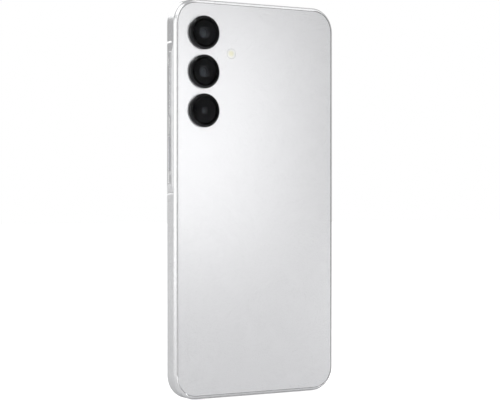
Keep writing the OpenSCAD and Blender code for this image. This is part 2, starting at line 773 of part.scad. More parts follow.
module sim_tray() color("lightsteelblue") stand() difference() {
    union() {
        across_x(-side_x, -side_x + face_t, tray_y - 0.4, tray_z) pill(tray_face_w, tray_face_len);
        block([-side_x + 0.2, tray_end], span(tray_y, tray_w / 2), span(tray_z, tray_t / 2));
    }
    // Two card pockets, open through, and the hole for the eject pin
    for (i = [0:1])
        block(shift(-side_x + 3 + i * (card_w + tray_rib), [0, card_w]), span(tray_y, card_len / 2),
            span(tray_z, 1));
    along_x(-side_x - 1, rod_y, tray_z, face_t + 2, eject_r);
}

module sim_tray_seal() color("black") stand() difference() {
    block(shift(-side_x + face_t, [0.01, 0.8]), span(tray_y, tray_w / 2 + 0.35),
        span(tray_z, tray_t / 2 + 0.35));
    block(shift(-side_x + face_t, [-1, 2]), span(tray_y, tray_w / 2), span(tray_z, tray_t / 2));
}

module sim_socket() color("silver") stand() {
    z = [socket_z, board_z];
    block([socket_x0, socket_x1], [socket_y0, socket_y1], [board_z - socket_sheet, board_z]);
    block([socket_x0, socket_x1], [socket_y0, socket_y0 + socket_sheet], z);
    block([socket_x0, socket_x1], [socket_y1 - socket_sheet, socket_y1], z);
    block([socket_x0, tray_end + 0.5], [socket_y0, socket_y1], [socket_z, socket_z + socket_sheet]);
}

module sim_eject_rod() color("silver") stand()
    along_x(rod_x0, rod_y, tray_z, lever_x - eject_travel / 2 - lever_tip - fit - rod_x0, rod_r);

// Two-armed lever with round tips, leaning back by half its swing
module sim_eject_lever() color("silver") stand()
    translate([lever_x, lever_y, tray_z - 0.25]) rotate(-lever_lean) difference() {
        union() {
            linear_extrude(0.5) square([lever_w, 2 * lever_arm], center = true);
            cylinder(h = 0.5, r = 1);
            for (s = [-1, 1]) translate([0, s * lever_arm, 0]) cylinder(h = 0.5, r = lever_tip);
        }
        translate([0, 0, -1]) cylinder(h = 3, r = 0.5);
    }

// Plate behind the tray, with a nose that the lever's tip pushes
module sim_eject_slide() color("white") stand() {
    tip_y = lever_y + lever_arm * cos(lever_lean);
    block(shift(tray_end + fit, [0, slide_t]), [tray_y - 3, tray_y + 5], span(tray_z, 0.3));
    block(shift(tray_end + fit, [0, slide_len]), [tip_y - 0.7, tip_y + 1], span(tray_z, 0.3));
}

module sim_lever_rivet() color("silver") stand() {
    post(lever_x, lever_y, tray_z - 0.5, board_z - socket_sheet, 0.4);
    post(lever_x, lever_y, tray_z - 0.6, tray_z - 0.4, 0.8);
}

module screws() color("silver") stand()
    for (p = concat(upper_posts, lower_posts)) difference() {
        union() {
            post(p[0], p[1], bracket_z + 0.05, bracket_z + head_t + 0.05, head_r);
            post(p[0], p[1], bracket_z + head_t, bracket_z + head_t + screw_len, screw_r);
        }
        // Cross recess
        for (a = [0, 90]) translate([p[0], p[1], bracket_z]) rotate(a) cube([1.5, 0.3, 0.5], center = true);
    }

side_frame();
mid_plate();
back_cover();
back_cover_adhesive();
upper_camera_ring();
middle_camera_ring();
lower_camera_ring();
upper_lens_window();
middle_lens_window();
lower_lens_window();
flash_window();
cover_glass();
display_adhesive();
display_panel();
display_backing();
graphite_sheet();
earpiece_mesh();
earpiece_speaker();
front_camera();
main_board();
processor_shield();
radio_shield();
board_connectors();
board_cover();
nfc_antenna();
flash_led();
upper_camera();
middle_camera_housing();
middle_camera_barrel();
lower_camera();
battery();
battery_tape();
battery_flex();
sub_board();
usb_shell();
usb_tongue();
usb_gasket();
loudspeaker();
speaker_mesh();
vibration_can();
vibration_weight();
bottom_microphone();
top_microphone();
main_flex();
display_flex();
coax_cable();
volume_key();
power_key();
fingerprint_sensor();
key_domes();
side_key_flex();
key_bracket();
sim_tray();
sim_tray_seal();
sim_socket();
sim_eject_rod();
sim_eject_lever();
sim_eject_slide();
sim_lever_rivet();
screws();
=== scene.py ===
import json
import math
import random
import bpy
import bmesh
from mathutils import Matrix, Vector


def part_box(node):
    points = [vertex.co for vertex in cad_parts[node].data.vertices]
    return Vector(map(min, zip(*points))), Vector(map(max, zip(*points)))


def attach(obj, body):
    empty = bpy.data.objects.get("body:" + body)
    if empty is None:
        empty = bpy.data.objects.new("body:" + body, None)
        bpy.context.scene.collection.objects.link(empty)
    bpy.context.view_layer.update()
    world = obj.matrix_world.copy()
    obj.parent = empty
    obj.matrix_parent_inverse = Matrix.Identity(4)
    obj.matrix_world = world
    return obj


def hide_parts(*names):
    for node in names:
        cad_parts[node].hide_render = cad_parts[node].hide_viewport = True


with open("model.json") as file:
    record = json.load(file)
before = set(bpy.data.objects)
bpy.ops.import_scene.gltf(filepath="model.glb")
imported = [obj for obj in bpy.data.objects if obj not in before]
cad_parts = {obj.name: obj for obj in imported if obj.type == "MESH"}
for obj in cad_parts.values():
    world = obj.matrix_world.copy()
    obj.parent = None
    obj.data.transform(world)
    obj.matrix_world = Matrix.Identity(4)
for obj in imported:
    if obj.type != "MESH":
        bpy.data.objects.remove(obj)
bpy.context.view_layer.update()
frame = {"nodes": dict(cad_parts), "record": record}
mm = 0.001
rng = random.Random(7)
print("frame loaded:", len(frame["nodes"]), "nodes")


# shader node groups

def startGroup(name, inputs, outputs):
    tree = bpy.data.node_groups.new(name, "ShaderNodeTree")
    for label, kind, value in inputs:
        socket = tree.interface.new_socket(name=label, in_out="INPUT", socket_type=kind)
        if value is not None:
            socket.default_value = value
    for label, kind in outputs:
        tree.interface.new_socket(name=label, in_out="OUTPUT", socket_type=kind)
    return tree, tree.nodes.new("NodeGroupInput"), tree.nodes.new("NodeGroupOutput")


def put(tree, kind, **values):
    node = tree.nodes.new(kind)
    for key, value in values.items():
        if hasattr(node, key):
            setattr(node, key, value)
        else:
            node.inputs[key.replace("_", " ")].default_value = value
    return node


def maths(tree, operation, first, second=None, clamp=False):
    node = put(tree, "ShaderNodeMath", operation=operation, use_clamp=clamp)
    for index, value in enumerate((first, second)):
        if value is None:
            continue
        if isinstance(value, (int, float)):
            node.inputs[index].default_value = value
        else:
            tree.links.new(value, node.inputs[index])
    return node.outputs[0]


def spread(tree, value, low, high, toLow=0.0, toHigh=1.0):
    node = put(tree, "ShaderNodeMapRange", clamp=True)
    tree.links.new(value, node.inputs["Value"])
    for label, number in (("From Min", low), ("From Max", high), ("To Min", toLow), ("To Max", toHigh)):
        node.inputs[label].default_value = number
    return node.outputs[0]


def makeGrainGroup():
    # cloudy grain: a 0..1 mask and the same thing as a height
    tree, entry, leave = startGroup("fineGrain", (
        ("Scale", "NodeSocketFloat", 4000.0), ("Softness", "NodeSocketFloat", 0.25)),
        (("Mask", "NodeSocketFloat"), ("Height", "NodeSocketFloat")))
    place = put(tree, "ShaderNodeTexCoord")
    noise = put(tree, "ShaderNodeTexNoise", Detail=6.0, Roughness=0.6)
    tree.links.new(place.outputs["Object"], noise.inputs["Vector"])
    tree.links.new(entry.outputs["Scale"], noise.inputs["Scale"])
    low = maths(tree, "SUBTRACT", 0.5, entry.outputs["Softness"])
    high = maths(tree, "ADD", 0.5, entry.outputs["Softness"])
    node = put(tree, "ShaderNodeMapRange", clamp=True)
    tree.links.new(noise.outputs["Fac"], node.inputs["Value"])
    tree.links.new(low, node.inputs["From Min"])
    tree.links.new(high, node.inputs["From Max"])
    tree.links.new(node.outputs[0], leave.inputs["Mask"])
    tree.links.new(noise.outputs["Fac"], leave.inputs["Height"])
    return tree


def makeFlakeGroup():
    # tiny paint platelets: each cell has its own brightness, a few catch the light
    tree, entry, leave = startGroup("pearlFlake", (
        ("Scale", "NodeSocketFloat", 9000.0), ("Share", "NodeSocketFloat", 0.12)),
        (("Glint", "NodeSocketFloat"), ("Tint", "NodeSocketColor"), ("Height", "NodeSocketFloat")))
    place = put(tree, "ShaderNodeTexCoord")
    cells = put(tree, "ShaderNodeTexVoronoi", feature="F1")
    tree.links.new(place.outputs["Object"], cells.inputs["Vector"])
    tree.links.new(entry.outputs["Scale"], cells.inputs["Scale"])
    parts = put(tree, "ShaderNodeSeparateColor")
    tree.links.new(cells.outputs["Color"], parts.inputs[0])
    edge = maths(tree, "SUBTRACT", 1.0, entry.outputs["Share"])
    glint = maths(tree, "GREATER_THAN", parts.outputs[0], edge)
    tree.links.new(glint, leave.inputs["Glint"])
    ramp = put(tree, "ShaderNodeValToRGB")
    ramp.color_ramp.elements[0].color = (0.86, 0.88, 1.0, 1)
    ramp.color_ramp.elements[1].color = (1.0, 0.93, 0.96, 1)
    middle = ramp.color_ramp.elements.new(0.5)
    middle.color = (0.90, 1.0, 0.96, 1)
    tree.links.new(parts.outputs[1], ramp.inputs[0])
    tree.links.new(ramp.outputs[0], leave.inputs["Tint"])
    tree.links.new(parts.outputs[2], leave.inputs["Height"])
    return tree


def makeBrushGroup():
    # straight brushing or drawing lines along one axis
    tree, entry, leave = startGroup("brushedLines", (
        ("Scale", "NodeSocketVector", (6000.0, 6000.0, 120.0)),),
        (("Mask", "NodeSocketFloat"), ("Height", "NodeSocketFloat")))
    place = put(tree, "ShaderNodeTexCoord")
    stretch = put(tree, "ShaderNodeVectorMath", operation="MULTIPLY")
    tree.links.new(place.outputs["Object"], stretch.inputs[0])
    tree.links.new(entry.outputs["Scale"], stretch.inputs[1])
    noise = put(tree, "ShaderNodeTexNoise", Scale=1.0, Detail=3.0)
    tree.links.new(stretch.outputs[0], noise.inputs["Vector"])
    mask = spread(tree, noise.outputs["Fac"], 0.35, 0.65)
    tree.links.new(mask, leave.inputs["Mask"])
    tree.links.new(noise.outputs["Fac"], leave.inputs["Height"])
    return tree


def makeSmudgeGroup():
    # faint handling marks: broad soft patches with thin streaks in them
    tree, entry, leave = startGroup("handlingMarks", (
        ("Scale", "NodeSocketFloat", 45.0), ("Strength", "NodeSocketFloat", 1.0)),
        (("Mask", "NodeSocketFloat"),))
    place = put(tree, "ShaderNodeTexCoord")
    broad = put(tree, "ShaderNodeTexNoise", Detail=2.0, Distortion=0.6)
    fine = put(tree, "ShaderNodeTexNoise", Scale=900.0, Detail=4.0)
    for noise in (broad, fine):
        tree.links.new(place.outputs["Object"], noise.inputs["Vector"])
    tree.links.new(entry.outputs["Scale"], broad.inputs["Scale"])
    patch = spread(tree, broad.outputs["Fac"], 0.48, 0.72)
    both = maths(tree, "MULTIPLY", patch, spread(tree, fine.outputs["Fac"], 0.3, 0.7, 0.5, 1.0))
    tree.links.new(maths(tree, "MULTIPLY", both, entry.outputs["Strength"], clamp=True), leave.inputs["Mask"])
    return tree


def makeEdgeGroup():
    # corners that handling has polished a little
    tree, entry, leave = startGroup("edgeWear", (
        ("Amount", "NodeSocketFloat", 1.0),), (("Mask", "NodeSocketFloat"),))
    shape = put(tree, "ShaderNodeNewGeometry")
    place = put(tree, "ShaderNodeTexCoord")
    noise = put(tree, "ShaderNodeTexNoise", Scale=700.0, Detail=4.0)
    tree.links.new(place.outputs["Object"], noise.inputs["Vector"])
    sharp = spread(tree, shape.outputs["Pointiness"], 0.51, 0.60)
    worn = maths(tree, "MULTIPLY", sharp, spread(tree, noise.outputs["Fac"], 0.3, 0.6))
    tree.links.new(maths(tree, "MULTIPLY", worn, entry.outputs["Amount"], clamp=True), leave.inputs["Mask"])
    return tree


groups = {"grain": makeGrainGroup(), "flake": makeFlakeGroup(), "brush": makeBrushGroup(),
    "smudge": makeSmudgeGroup(), "edge": makeEdgeGroup()}
print("shader groups made:", len(groups))


# materials

def useGroup(tree, name, **values):
    node = tree.nodes.new("ShaderNodeGroup")
    node.node_tree = groups[name]
    for key, value in values.items():
        node.inputs[key].default_value = value
    return node


def blendColour(tree, mask, first, second, mode="MIX"):
    node = put(tree, "ShaderNodeMix", data_type="RGBA", blend_type=mode)
    colours = [socket for socket in node.inputs if socket.type == "RGBA"]
    if isinstance(mask, (int, float)):
        node.inputs[0].default_value = mask
    else:
        tree.links.new(mask, node.inputs[0])
    for socket, value in zip(colours, (first, second)):
        if isinstance(value, tuple):
            socket.default_value = (*value[:3], 1)
        else:
            tree.links.new(value, socket)
    return next(socket for socket in node.outputs if socket.type == "RGBA")


def makeSurface(name, colour, shade, roughness, metallic=0.0, grainScale=4000.0, bump=0.00001,
        roughSpread=0.08, flake=0.0, flakeScale=9000.0, brush=None, wear=0.0, smudge=0.0,
        coat=0.0, coatRoughness=0.1, specular=None, ior=None, sheen=0.0, pattern=None):
    # colour and shade are the light and dark ends of the surface's own variation
    material = bpy.data.materials.new(name)
    material.use_nodes = True
    tree = material.node_tree
    shader = tree.nodes["Principled BSDF"]
    grain = useGroup(tree, "grain", Scale=grainScale)
    base = blendColour(tree, grain.outputs["Mask"], shade, colour)
    rough = spread(tree, grain.outputs["Mask"], 0, 1, roughness + roughSpread / 2,
        roughness - roughSpread / 2)
    height = grain.outputs["Height"]
    if brush:
        lines = useGroup(tree, "brush", Scale=brush)
        base = blendColour(tree, spread(tree, lines.outputs["Mask"], 0, 1, 0, 0.35), base, colour)
        rough = maths(tree, "ADD", rough, spread(tree, lines.outputs["Mask"], 0, 1, -0.05, 0.05))
        height = lines.outputs["Height"]
    if flake:
        flakes = useGroup(tree, "flake", Scale=flakeScale)
        tinted = blendColour(tree, 0.5, base, flakes.outputs["Tint"], "MULTIPLY")
        base = blendColour(tree, maths(tree, "MULTIPLY", flakes.outputs["Glint"], flake), base, tinted)
        rough = maths(tree, "SUBTRACT", rough, maths(tree, "MULTIPLY", flakes.outputs["Glint"], 0.25 * flake))
        height = flakes.outputs["Height"]
    if pattern:
        base, rough = pattern(tree, base, rough)
    if wear:
        worn = useGroup(tree, "edge", Amount=wear)
        lighter = tuple(min(1.0, c * 1.25 + 0.03) for c in colour[:3])
        base = blendColour(tree, worn.outputs["Mask"], base, lighter)
        rough = maths(tree, "SUBTRACT", rough, maths(tree, "MULTIPLY", worn.outputs["Mask"], 0.12))
    if smudge:
        marks = useGroup(tree, "smudge", Strength=smudge)
        rough = maths(tree, "ADD", rough, maths(tree, "MULTIPLY", marks.outputs["Mask"], 0.10), clamp=True)
    tree.links.new(base, shader.inputs["Base Color"])
    tree.links.new(rough, shader.inputs["Roughness"])
    bumpNode = put(tree, "ShaderNodeBump", Strength=1.0, Distance=bump)
    tree.links.new(height, bumpNode.inputs["Height"])
    tree.links.new(bumpNode.outputs[0], shader.inputs["Normal"])
    shader.inputs["Metallic"].default_value = metallic
    shader.inputs["Coat Weight"].default_value = coat
    shader.inputs["Coat Roughness"].default_value = coatRoughness
    shader.inputs["Sheen Weight"].default_value = sheen
    if specular is not None:
        shader.inputs["Specular IOR Level"].default_value = specular
    if ior is not None:
        shader.inputs["IOR"].default_value = ior
    return material


def makeGlass(name, colour, roughness, ior, specular, smudge=0.4, film=0.0):
    material = bpy.data.materials.new(name)
    material.use_nodes = True
    tree = material.node_tree
    shader = tree.nodes["Principled BSDF"]
    marks = useGroup(tree, "smudge", Strength=smudge)
    rough = spread(tree, marks.outputs["Mask"], 0, 1, roughness, roughness + 0.05)
    tree.links.new(rough, shader.inputs["Roughness"])
    grain = useGroup(tree, "grain", Scale=300.0)
    darker = tuple(c * 0.94 for c in colour)
    tree.links.new(blendColour(tree, grain.outputs["Mask"], darker, colour), shader.inputs["Base Color"])
    shader.inputs["Metallic"].default_value = 0.0
    shader.inputs["Transmission Weight"].default_value = 1.0
    shader.inputs["IOR"].default_value = ior
    shader.inputs["Specular IOR Level"].default_value = specular
    shader.inputs["Thin Film Thickness"].default_value = film
    return material


def tracePattern(lineScale, tint, padTint):
    # copper runs under the mask, with small plated holes between them
    def apply(tree, base, rough):
        place = put(tree, "ShaderNodeTexCoord")
        runs = put(tree, "ShaderNodeTexVoronoi", feature="F1", distance="CHEBYCHEV", Scale=lineScale)
        holes = put(tree, "ShaderNodeTexVoronoi", feature="F1", Scale=lineScale * 1.7)
        for node in (runs, holes):
            tree.links.new(place.outputs["Object"], node.inputs["Vector"])
        waves = maths(tree, "FRACT", maths(tree, "MULTIPLY", runs.outputs["Distance"], 6.0))
        mask = maths(tree, "GREATER_THAN", waves, 0.55)
        base = blendColour(tree, maths(tree, "MULTIPLY", mask, 0.7), base, tint)
        dot = maths(tree, "LESS_THAN", holes.outputs["Distance"], 0.13)
        base = blendColour(tree, dot, base, padTint)
        rough = maths(tree, "SUBTRACT", rough, maths(tree, "MULTIPLY", dot, 0.15))
        return base, rough
    return apply


def stripPattern(axis, pitch, tint):
    # parallel copper conductors seen through the film
    def apply(tree, base, rough):
        place = put(tree, "ShaderNodeTexCoord")
        parts = put(tree, "ShaderNodeSeparateXYZ")
        tree.links.new(place.outputs["Object"], parts.inputs[0])
        wave = maths(tree, "FRACT", maths(tree, "MULTIPLY", parts.outputs[axis], 1.0 / pitch))
        inside = maths(tree, "LESS_THAN", maths(tree, "ABSOLUTE", maths(tree, "SUBTRACT", wave, 0.5)), 0.28)
        return blendColour(tree, inside, base, tint), rough
    return apply


def displayGrid(pitch):
    # the very fine grid of a switched-off display
    def apply(tree, base, rough):
        place = put(tree, "ShaderNodeTexCoord")
        parts = put(tree, "ShaderNodeSeparateXYZ")
        tree.links.new(place.outputs["Object"], parts.inputs[0])
        lines = [maths(tree, "LESS_THAN", maths(tree, "FRACT",
            maths(tree, "MULTIPLY", parts.outputs[axis], 1.0 / pitch)), 0.2) for axis in (0, 2)]
        grid = maths(tree, "MAXIMUM", *lines)
        return blendColour(tree, maths(tree, "MULTIPLY", grid, 0.5), base, (0.004, 0.004, 0.005)), rough
    return apply


def warmCentre(centre):
    # a warm tint that fades out from one point of the row frame
    def apply(tree, base, rough):
        place = put(tree, "ShaderNodeTexCoord")
        shift = put(tree, "ShaderNodeVectorMath", operation="SUBTRACT")
        tree.links.new(place.outputs["Object"], shift.inputs[0])
        shift.inputs[1].default_value = centre
        parts = put(tree, "ShaderNodeSeparateXYZ")
        tree.links.new(shift.outputs[0], parts.inputs[0])
        square = [maths(tree, "MULTIPLY", parts.outputs[axis], parts.outputs[axis]) for axis in (0, 2)]
        radius = maths(tree, "SQRT", maths(tree, "ADD", *square))
        warm = spread(tree, radius, 0.0006, 0.0017, 1.0, 0.0)
        return blendColour(tree, maths(tree, "MULTIPLY", warm, 0.55), base, (0.86, 0.84, 0.50)), rough
    return apply


def bareInsideSeamShade(halfWidth, middleZ, halfHeight, corner, inset):
    # paint covers the outside only: further in than inset from the outline the moulding is bare, and it is
    # painted near black there as painted shade in the seam between frame and cover
    def apply(tree, base, rough):
        place = put(tree, "ShaderNodeTexCoord")
        parts = put(tree, "ShaderNodeSeparateXYZ")
        tree.links.new(place.outputs["Object"], parts.inputs[0])
        across = maths(tree, "SUBTRACT", maths(tree, "ABSOLUTE", parts.outputs[0]), halfWidth - corner)
        along = maths(tree, "SUBTRACT", maths(tree, "ABSOLUTE",
            maths(tree, "SUBTRACT", parts.outputs[2], middleZ)), halfHeight - corner)
        across, along = (maths(tree, "MAXIMUM", value, 0.0) for value in (across, along))
        reach = maths(tree, "SQRT", maths(tree, "ADD", maths(tree, "MULTIPLY", across, across),
            maths(tree, "MULTIPLY", along, along)))
        bareSeamShade = spread(tree, reach, corner - inset - 0.00004, corner - inset + 0.00002, 1.0, 0.0)
        return blendColour(tree, bareSeamShade, base, (0.018, 0.018, 0.019)), rough
    return apply


def bareEdgeSeamShade(level):
    # the cover's cut edge below its painted face, painted near black as painted shade in the seam against the
    # frame
    def apply(tree, base, rough):
        place = put(tree, "ShaderNodeTexCoord")
        parts = put(tree, "ShaderNodeSeparateXYZ")
        tree.links.new(place.outputs["Object"], parts.inputs[0])
        bareSeamShade = spread(tree, parts.outputs[1], level - 0.00003, level + 0.00003, 1.0, 0.0)
        return blendColour(tree, bareSeamShade, base, (0.018, 0.018, 0.019)), rough
    return apply


frameLow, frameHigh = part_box("side_frame")
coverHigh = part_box("back_cover")[1]
finishes = {
    "side_paint": dict(colour=(0.80, 0.803, 0.812), shade=(0.775, 0.778, 0.79), roughness=0.27, metallic=0.75,
        flake=0.18, flakeScale=26000.0, bump=0.0000002, roughSpread=0.03, wear=0.3, coat=0.15,
        coatRoughness=0.12, smudge=0.12,
        # pattern paints the frame's inside near black: bare moulding and painted seam shade
        pattern=bareInsideSeamShade(-frameLow.x, frameHigh.z / 2, frameHigh.z / 2, 0.0100,
            -frameLow.x - coverHigh.x - 0.00015)),
    "cover_paint": dict(colour=(0.832, 0.834, 0.846), shade=(0.815, 0.817, 0.831), roughness=0.31,
    metallic=0.72,
        flake=0.15, flakeScale=26000.0, bump=0.00000012, roughSpread=0.02, wear=0.1, coat=0.1,
        # pattern paints the cover's cut edge near black as painted seam shade
        coatRoughness=0.25, smudge=0.08, pattern=bareEdgeSeamShade(coverHigh.y - 0.00012)),
    "ring_black": dict(colour=(0.006, 0.006, 0.007), shade=(0.003, 0.003, 0.004), roughness=0.13,
    metallic=0.0,
        grainScale=2500.0, bump=0.0000002, roughSpread=0.03, wear=0.1, specular=0.30, smudge=0.2),
    "flash_lens": dict(colour=(0.95, 0.955, 0.94), shade=(0.92, 0.925, 0.90), roughness=0.30, metallic=0.4,
        bump=0.000002, grainScale=1800.0, coat=0.3, coatRoughness=0.1),
    "display_layers": dict(colour=(0.010, 0.0105, 0.014), shade=(0.0092, 0.0097, 0.0130), roughness=0.2,
        grainScale=300.0, bump=0.0000001, roughSpread=0.01, specular=0.08, pattern=displayGrid(0.00009)),
    "adhesive": dict(colour=(0.06, 0.06, 0.065), shade=(0.03, 0.03, 0.034), roughness=0.85, grainScale=6000.0,
        bump=0.00002),
    "copper_foil": dict(colour=(0.83, 0.47, 0.32), shade=(0.62, 0.33, 0.22), roughness=0.34, metallic=1.0,
        brush=(5000.0, 5000.0, 160.0), bump=0.000006, wear=0.3),
    "graphite": dict(colour=(0.12, 0.12, 0.125), shade=(0.065, 0.065, 0.07), roughness=0.55, metallic=0.3,
        brush=(2600.0, 2600.0, 300.0), bump=0.000008),
    "plate_metal": dict(colour=(0.66, 0.66, 0.67), shade=(0.52, 0.52, 0.53), roughness=0.44, metallic=1.0,
        grainScale=2600.0, bump=0.00001, wear=0.5),
    "sheet_steel": dict(colour=(0.74, 0.73, 0.71), shade=(0.58, 0.57, 0.56), roughness=0.30, metallic=1.0,
        brush=(7000.0, 7000.0, 240.0), bump=0.000004, wear=0.6),
    "heavy_metal": dict(colour=(0.42, 0.42, 0.43), shade=(0.28, 0.28, 0.30), roughness=0.5, metallic=1.0,
        grainScale=9000.0, bump=0.00001, wear=0.6),
    "mesh_metal": dict(colour=(0.20, 0.20, 0.21), shade=(0.11, 0.11, 0.12), roughness=0.45, metallic=1.0,
        grainScale=12000.0, bump=0.000006, wear=0.4),
    "board_green": dict(colour=(0.035, 0.23, 0.14), shade=(0.02, 0.16, 0.10), roughness=0.36, bump=0.000008,
        grainScale=3000.0, coat=0.2, pattern=tracePattern(420.0, (0.06, 0.36, 0.20), (0.78, 0.58, 0.25))),
    "black_polymer": dict(colour=(0.045, 0.045, 0.05), shade=(0.026, 0.026, 0.030), roughness=0.55,
        grainScale=7000.0, bump=0.000014, wear=0.4),
    "white_polymer": dict(colour=(0.83, 0.83, 0.80), shade=(0.74, 0.74, 0.71), roughness=0.48,
    grainScale=5000.0,
        bump=0.00001, wear=0.2),
    "ribbon_film": dict(colour=(0.50, 0.25, 0.07), shade=(0.40, 0.18, 0.045), roughness=0.26, bump=0.000006,
        grainScale=1500.0, coat=0.4, pattern=stripPattern(0, 0.0006, (0.66, 0.36, 0.14))),
    "battery_wrap": dict(colour=(0.075, 0.075, 0.08), shade=(0.045, 0.045, 0.05), roughness=0.38,
    metallic=0.5,
        grainScale=500.0, bump=0.00004, wear=0.6),
    "black_rubber": dict(colour=(0.04, 0.04, 0.042), shade=(0.02, 0.02, 0.022), roughness=0.78,
    grainScale=8000.0,
        bump=0.00002),
    "sensor_gloss": dict(colour=(0.66, 0.665, 0.69), shade=(0.60, 0.605, 0.635), roughness=0.20,
    metallic=0.55,
        flake=0.3, flakeScale=14000.0, bump=0.000001, coat=0.7, coatRoughness=0.05, smudge=1.0),
    "led_yellow": dict(colour=(0.93, 0.80, 0.24), shade=(0.84, 0.68, 0.15), roughness=0.5, grainScale=6000.0,
        bump=0.00001),
}
materials = {name: makeSurface(name, **values) for name, values in finishes.items()}
materials["lens_glass"] = makeGlass("lens_glass", (0.90, 0.91, 0.93), 0.02, 1.09, 0.5)
materials["screen_glass"] = makeGlass("screen_glass", (0.80, 0.81, 0.82), 0.01, 1.46, 0.5, smudge=0.12)
materials["coatedLens"] = makeGlass("coatedLens", (0.80, 0.86, 0.92), 0.0, 1.22, 0.5, smudge=0.1)
extras = {
    "blackInk": dict(colour=(0.004, 0.004, 0.005), shade=(0.0025, 0.0025, 0.003), roughness=0.35,
    grainScale=5000.0,
        bump=0.000001, specular=0.04),
    "lensBaffle": dict(colour=(0.016, 0.016, 0.018), shade=(0.008, 0.008, 0.010), roughness=0.42,
    grainScale=9000.0,
        bump=0.000006, wear=0.3),
    "sensorPlane": dict(colour=(0.05, 0.035, 0.075), shade=(0.02, 0.035, 0.05), roughness=0.18, metallic=0.4,
        grainScale=2500.0, bump=0.000002),
    "goldPlate": dict(colour=(0.92, 0.66, 0.30), shade=(0.80, 0.55, 0.22), roughness=0.24, metallic=1.0,
        brush=(9000.0, 9000.0, 500.0), bump=0.000003, wear=0.4),
    "chipResin": dict(colour=(0.05, 0.05, 0.052), shade=(0.03, 0.03, 0.033), roughness=0.5, grainScale=9000.0,
        bump=0.000008, wear=0.4),
    "ceramicPart": dict(colour=(0.55, 0.44, 0.30), shade=(0.42, 0.32, 0.20), roughness=0.45,
    grainScale=6000.0,
        bump=0.000008, wear=0.2),
}
materials.update({name: makeSurface(name, **values) for name, values in extras.items()})
print("materials made:", len(materials))


# mesh helpers

def makePiece(name, mesh, material, body, replaced=(), sharpAngle=35):
    bmesh.ops.recalc_face_normals(mesh, faces=mesh.faces)
    data = bpy.data.meshes.new(name)
    mesh.to_mesh(data)
    mesh.free()
    for face in data.polygons:
        face.use_smooth = True
    data.set_sharp_from_angle(angle=math.radians(sharpAngle))
    piece = bpy.data.objects.new(name, data)
    bpy.context.scene.collection.objects.link(piece)
    data.materials.append(materials[material])
    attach(piece, body)
    if replaced:
        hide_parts(*replaced)
    return piece


def fillet(points, radii, steps=5, closed=True):
    # rounds the corners of a flat profile: one radius for each point
    rounded = []
    count = len(points)
    for index, point in enumerate(points):
        radius = radii[index] if isinstance(radii, (list, tuple)) else radii
        ends = not closed and index in (0, count - 1)
        if radius <= 0 or ends:
            rounded.append(tuple(point))
            continue
        here = Vector(point)
        before = Vector(points[index - 1]) - here
        after = Vector(points[(index + 1) % count]) - here
        reach = min(radius, before.length * 0.48, after.length * 0.48)
        first, last = here + before.normalized() * reach, here + after.normalized() * reach
        for step in range(steps + 1):
            t = step / steps
            spot = first * (1 - t) ** 2 + here * (2 * t * (1 - t)) + last * t ** 2
            rounded.append((spot.x, spot.y))
    return rounded


def turnInto(mesh, profile, centre, segments=128, closed=True):
    # spins a profile of (radius, y) about the Y axis through centre (x, z)
    rings = []
    for radius, depth in profile:
        if radius < 1e-7:
            rings.append([mesh.verts.new((centre[0], depth, centre[1]))])
            continue
        rings.append([mesh.verts.new((centre[0] + radius * math.cos(a), depth,
            centre[1] + radius * math.sin(a)))
            for a in (2 * math.pi * i / segments for i in range(segments))])
    pairs = list(zip(rings, rings[1:])) + ([(rings[-1], rings[0])] if closed else [])
    for near, far in pairs:
        if len(near) == 1 and len(far) == 1:
            continue
        for i in range(segments):
            j = (i + 1) % segments
            if len(near) == 1:
                mesh.faces.new((near[0], far[i], far[j]))
            elif len(far) == 1:
                mesh.faces.new((near[i], near[j], far[0]))
            else:
                mesh.faces.new((near[i], near[j], far[j], far[i]))
    return mesh


def turned(name, profile, centre, material, body, replaced=(), segments=128, closed=True):
    scaled = [(r * mm, y * mm) for r, y in profile]
    return makePiece(name, turnInto(bmesh.new(), scaled, centre, segments, closed), material, body,
        replaced)


def roundedOutline(x0, x1, z0, z1, radius, steps=16):
    spots = []
    for cx, cz, start in ((x1 - radius, z1 - radius, 0), (x0 + radius, z1 - radius, 90),
            (x0 + radius, z0 + radius, 180), (x1 - radius, z0 + radius, 270)):
        for step in range(steps + 1):
            a = math.radians(start + 90 * step / steps)
            spots.append((cx + radius * math.cos(a), cz + radius * math.sin(a)))
    return spots


def circleOutline(x, z, radius, steps=48):
    return [(x + radius * math.cos(2 * math.pi * i / steps), z + radius * math.sin(2 * math.pi * i / steps))
        for i in range(steps)]


def plateInto(mesh, outlines, y0, y1, place=None):
    # a flat plate from one outer outline and any hole outlines, all in (u, v), y0 to y1 thick
    place = place or (lambda u, v, w: (u, w, v))
    edges, bottom = [], []
    for outline in outlines:
        loop = [mesh.verts.new(place(u, v, y0)) for u, v in outline]
        bottom.append(loop)
        edges += [mesh.edges.new((loop[i], loop[(i + 1) % len(loop)])) for i in range(len(loop))]
    filled = bmesh.ops.triangle_fill(mesh, edges=edges, use_beauty=True, use_dissolve=False)
    faces = [item for item in filled["geom"] if isinstance(item, bmesh.types.BMFace)]
    pushed = bmesh.ops.extrude_face_region(mesh, geom=faces, use_keep_orig=True)
    moved = [item for item in pushed["geom"] if isinstance(item, bmesh.types.BMVert)]
    shift = Vector(place(0, 0, y1)) - Vector(place(0, 0, y0))
    bmesh.ops.translate(mesh, verts=moved, vec=shift)
    return mesh


def bevelSharp(mesh, width, segments=2, angle=50):
    sharp = [edge for edge in mesh.edges
        if len(edge.link_faces) == 2 and edge.calc_face_angle(0) > math.radians(angle)]
    bmesh.ops.bevel(mesh, geom=sharp, offset=width, segments=segments, profile=0.5, affect="EDGES",
        clamp_overlap=True)
    return mesh


def blockInto(mesh, low, high):
    corner = [mesh.verts.new((x, y, z)) for x in (low[0], high[0]) for y in (low[1],
        high[1]) for z in (low[2], high[2])]
    for quad in ((0, 1, 3, 2), (4, 6, 7, 5), (0, 4, 5, 1), (2, 3, 7, 6), (0, 2, 6, 4), (1, 5, 7, 3)):
        mesh.faces.new([corner[i] for i in quad])
    return mesh


